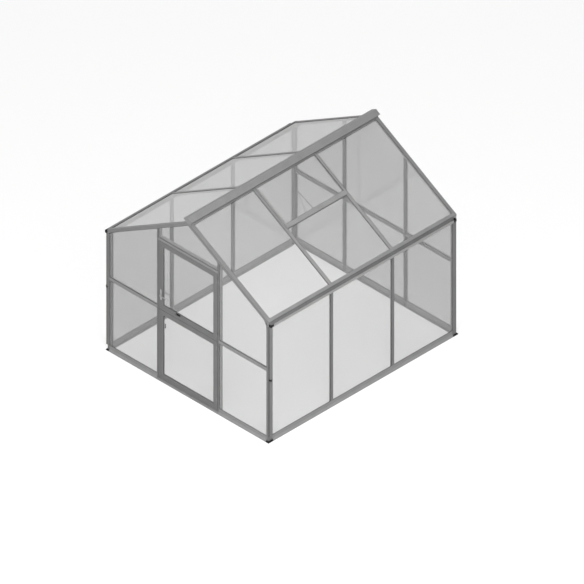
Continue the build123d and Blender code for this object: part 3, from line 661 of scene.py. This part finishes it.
def screwHinges(shape):
    posts = bmesh.new()
    for body, heights in shape["heights"].items():
        leaves = bmesh.new()
        for height in heights:
            for rise in shape["rise"]:
                addTurned(leaves, onFace("front", shape["leafX"], height + rise, shape["plate"]), flatHead)
                addTurned(posts, onFace("front", shape["postX"], height + rise, shape["plate"]), flatHead)
        makePiece(body + "HingeScrews", leaves, "zinc", body)
    makePiece("postHingeScrews", posts, "zinc")


screwHinges(hingeScrews)
print("hinges screwed")

# Handle plates: two screws, and a lock cylinder with its key slot under the lever
handleTrim = {
    "plateHalf": 12 * mm,  # half of a plate's width
    "plate": 4 * mm,
    "leaf": 30 * mm,
    "screwReach": 60 * mm,
    "lockDrop": 38 * mm,
    "cylinder": (20, inMetres((6.5, 0), (6.5, 1.2), (5.8, 1.6), (0, 1.6))),
    "tail": (5.6 * mm, 12 * mm, 2.4 * mm),
    "key": (1.4 * mm, 6 * mm, 0.5 * mm),
    "keyRise": 1.5 * mm,
}


def trimHandles(shape):
    metal, dark = bmesh.new(), bmesh.new()
    x, z = lowOf("door_handles", "x") + shape["plateHalf"], middleOf("door_handles", "z")
    outside = onFace("front", x, z, shape["plate"])
    inside = behindFace("front", x, z, shape["leaf"] + shape["plate"])
    for place, down in ((outside, -1), (inside, 1)):
        for reach in (-shape["screwReach"], shape["screwReach"]):
            addTurned(metal, place @ Matrix.Translation((0, reach, 0)), flatHead)
        lock = place @ Matrix.Translation((0, down * shape["lockDrop"], 0))
        addTurned(metal, lock, shape["cylinder"])
        addBlock(metal, lock @ Matrix.Translation((0, down * shape["tail"][1] / 2, 0)), shape["tail"])
        addBlock(dark, lock @ Matrix.Translation((0, 0, shape["keyRise"])), shape["key"])
    makePiece("handleScrewsAndLock", metal, "zinc", "upper_leaf")
    makePiece("keySlots", dark, "rubber", "upper_leaf")


trimHandles(handleTrim)

# Finger latch of the upper leaf: ridges for the fingers between two screws
pullTrim = {
    "ridges": (-12 * mm, -6 * mm, 0, 6 * mm, 12 * mm),
    "ridge": (1.6 * mm, 10 * mm, 1.2 * mm),
    "screws": 26 * mm,
}


def trimPull(shape):
    screws, ridges = bmesh.new(), bmesh.new()
    x, z = middleOf("upper_door_latch", "x"), middleOf("upper_door_latch", "z")
    height = -house["halfLength"] - lowOf("upper_door_latch", "y")
    for across in shape["ridges"]:
        addBlock(ridges, onFace("front", x + across, z, height + shape["ridge"][2] / 2), shape["ridge"])
    for across in (-shape["screws"], shape["screws"]):
        addTurned(screws, onFace("front", x + across, z, height), flatHead)
    makePiece("latchRidges", ridges, "plastic", "upper_leaf")
    makePiece("latchScrews", screws, "zinc", "upper_leaf")


trimPull(pullTrim)

# Slide bolt inside the lower leaf: a bar grip on two stems, set towards the pane, and two screws
boltTrim = {
    "grip": (18, inMetres((0, -31), (6, -31), (7, -25), (6, 0), (7, 25), (6, 31), (0, 31))),
    "gripAcross": 8 * mm,
    "gripRise": 22 * mm,
    "stem": (12, inMetres((3.5, 0), (2.8, 3), (2.8, 18))),
    "stemReach": 16 * mm,
    "screws": 27 * mm,
}


def trimBolt(shape):
    screws, grip = bmesh.new(), bmesh.new()
    x, z = middleOf("lower_door_latch", "x"), middleOf("lower_door_latch", "z")
    depth = house["halfLength"] + highOf("lower_door_latch", "y")
    for reach in (-shape["screws"], shape["screws"]):
        addTurned(screws, behindFace("front", x, z + reach, depth), flatHead)
    middle = behindFace("front", x + shape["gripAcross"], z, depth)
    for reach in (-shape["stemReach"], shape["stemReach"]):
        addTurned(grip, middle @ Matrix.Translation((0, reach, 0)), shape["stem"])
    upright = Matrix.Translation((0, 0, shape["gripRise"])) @ Matrix.Rotation(math.pi / 2, 4, "X")
    addTurned(grip, middle @ upright, shape["grip"])
    makePiece("slideBoltScrews", screws, "zinc", "lower_leaf")
    makePiece("slideBoltGrip", grip, "plastic", "lower_leaf")


trimBolt(boltTrim)
print("handles and latches trimmed")

# Nuts in the bolt channels inside the house, where the bars are bolted together
nutPlaces = {
    "wallHeights": (96 * mm, 1615 * mm),
    "cornerHeights": (100 * mm, 560 * mm, 1070 * mm, 1560 * mm),
    "cornerIn": 36 * mm,
    "webDepth": 10 * mm,
    "gableHeights": (96 * mm, 980 * mm, 1070 * mm, 2085 * mm),
    "roofReach": (90 * mm, 1425 * mm),
    "railFromEdge": 24 * mm,
    "railHeight": 1025 * mm,
    "gusset": inMetres((1290, 1604), (1284, 1630), (1262, 1690), (1236, 1718)),
    "gussetDepth": 13 * mm,
}


def boltWalls(mesh, shape):
    deep, bar = house["barDepth"], house["barSpacing"]
    for side in ("right", "left"):
        for across in (-bar, bar):
            for height in shape["wallHeights"]:
                addNut(mesh, behindFace(side, across, height, deep))
            for reach in shape["roofReach"]:
                addNut(mesh, behindFace(side + "Roof", across, reach, deep))
        for end in (-1, 1):
            across = end * (house["halfLength"] - shape["cornerIn"])
            for height in shape["cornerHeights"]:
                addNut(mesh, behindFace(side, across, height, shape["webDepth"]))


def boltGables(mesh, shape):
    deep, edge = house["barDepth"], house["postEdge"] - shape["railFromEdge"]
    for end in (-1, 1):
        for height in shape["gableHeights"]:
            addNut(mesh, behindFace("rear", end * house["rearPost"], height, deep))
        for face, inner in (("front", house["jambOuter"]), ("rear", house["rearPost"] + barHalf)):
            for across in (inner + shape["railFromEdge"], edge):
                addNut(mesh, behindFace(face, end * across, shape["railHeight"], deep))
            for across, height in shape["gusset"]:
                addNut(mesh, behindFace(face, end * across, height, shape["gussetDepth"]))


def boltFrame(shape):
    mesh = bmesh.new()
    boltWalls(mesh, shape)
    boltGables(mesh, shape)
    makePiece("channelNuts", mesh, "zinc")
    print("frame bolted")


boltFrame(nutPlaces)

# Downpipes: a clamp screw on each clip and a rolled rim round the foot of the pipe
pipeTrim = {
    "x": 1337.5 * mm,
    "y": -1521 * mm,
    "clipHeight": 891 * mm,
    "clipRadius": 22 * mm,
    "foot": 70 * mm,
    "rim": (28, inMetres((18, 0), (18.8, 0.6), (18.8, 3.4), (18, 4))),
}


def trimPipes(shape):
    screws, rims = bmesh.new(), bmesh.new()
    for side in (-1, 1):
        middle = Vector((side * shape["x"], shape["y"], 0))
        outwards = Vector((side, 0, 0)).to_track_quat("Z", "Y").to_matrix().to_4x4()
        spot = middle + Vector((side * shape["clipRadius"], 0, shape["clipHeight"]))
        addTurned(screws, Matrix.Translation(spot) @ outwards, screwHead)
        addTurned(rims, Matrix.Translation(middle + Vector((0, 0, shape["foot"]))), shape["rim"])
    makePiece("clipScrews", screws, "zinc")
    # The rims take the uprights' darker aluminium, which is painted shade
    makePiece("pipeRims", rims, "barUprightPaintedShade")


trimPipes(pipeTrim)


# Roof vent: mitre lines at the corners of its frame and a row of screws in its bottom rail
def trimVent(shape):
    lines, screws = bmesh.new(), bmesh.new()
    low, high, top = shape["low"], shape["high"], shape["top"]
    for side in (-1, 1):
        outer, inner = side * shape["half"], side * (shape["half"] - shape["stile"])
        addMitre(lines, "rightRoof", (outer, low), (inner, low + shape["bottomRail"]), top)
        addMitre(lines, "rightRoof", (outer, high), (inner, high - shape["topRail"]), top)
    for across in shape["screws"]:
        addTurned(screws, onFace("rightRoof", across, low + shape["bottomRail"] / 2, top), flatHead)
    makePiece("ventMitres", lines, "rubber")
    makePiece("ventScrews", screws, "zinc")


trimVent(ventShape)
print("pipes and vent trimmed")

# Studio: pale floor, one broad key from the right and above, dome light all round
studio = {
    "floorSize": 60.0,
    "floorDrop": 0.5 * mm,
    "floorColor": 0.35,
    "floorRoughness": 0.9,
    "floorLift": 0.68,  # light that the camera sees on the floor besides what falls on it
    "domeLight": 0.62,
    "keyPower": 1100.0,
    "keySize": 7.0,
    "keyPlace": Vector((6.0, -6.0, 7.5)),
    "keyTarget": Vector((0.0, 0.0, 1.2)),
}


def addFloor(setup):
    half = setup["floorSize"] / 2
    corners = [(x, y, 0) for x, y in rectangle(-half, -half, half, half)]
    mesh = bpy.data.meshes.new("studioFloor")
    mesh.from_pydata(corners, [], [(0, 1, 2, 3)])
    floor = bpy.data.objects.new("studioFloor", mesh)
    floor.location.z = -setup["floorDrop"]
    scene.collection.objects.link(floor)
    graph = NodeGraph(bpy.data.materials.new("studioFloor"))
    lift = graph.add("ShaderNodeMath", {0: graph.seenRays(), 1: setup["floorLift"]}, operation="MULTIPLY")
    graph.set(color=grey(setup["floorColor"]), roughness=setup["floorRoughness"], specular=0.0)
    graph.feed(graph.shader, "Emission Color", grey(1.0))
    graph.feed(graph.shader, "Emission Strength", lift.outputs[0])
    mesh.materials.append(graph.owner)


def addDome(setup):
    scene.world = bpy.data.worlds.new("studioDome")
    graph = NodeGraph(scene.world, "Background")
    graph.feed(graph.shader, "Color", grey(1.0))
    graph.feed(graph.shader, "Strength", graph.spread(graph.seenRays(), (setup["domeLight"], 1.0)))


def addKey(setup):
    light = bpy.data.lights.new("keyLight", "AREA")
    light.energy = setup["keyPower"]
    light.size = setup["keySize"]
    lamp = bpy.data.objects.new("keyLight", light)
    lamp.location = setup["keyPlace"]
    lamp.rotation_euler = (setup["keyTarget"] - setup["keyPlace"]).to_track_quat("-Z", "Y").to_euler()
    scene.collection.objects.link(lamp)


addFloor(studio)
addDome(studio)
addKey(studio)
print("studio lit")
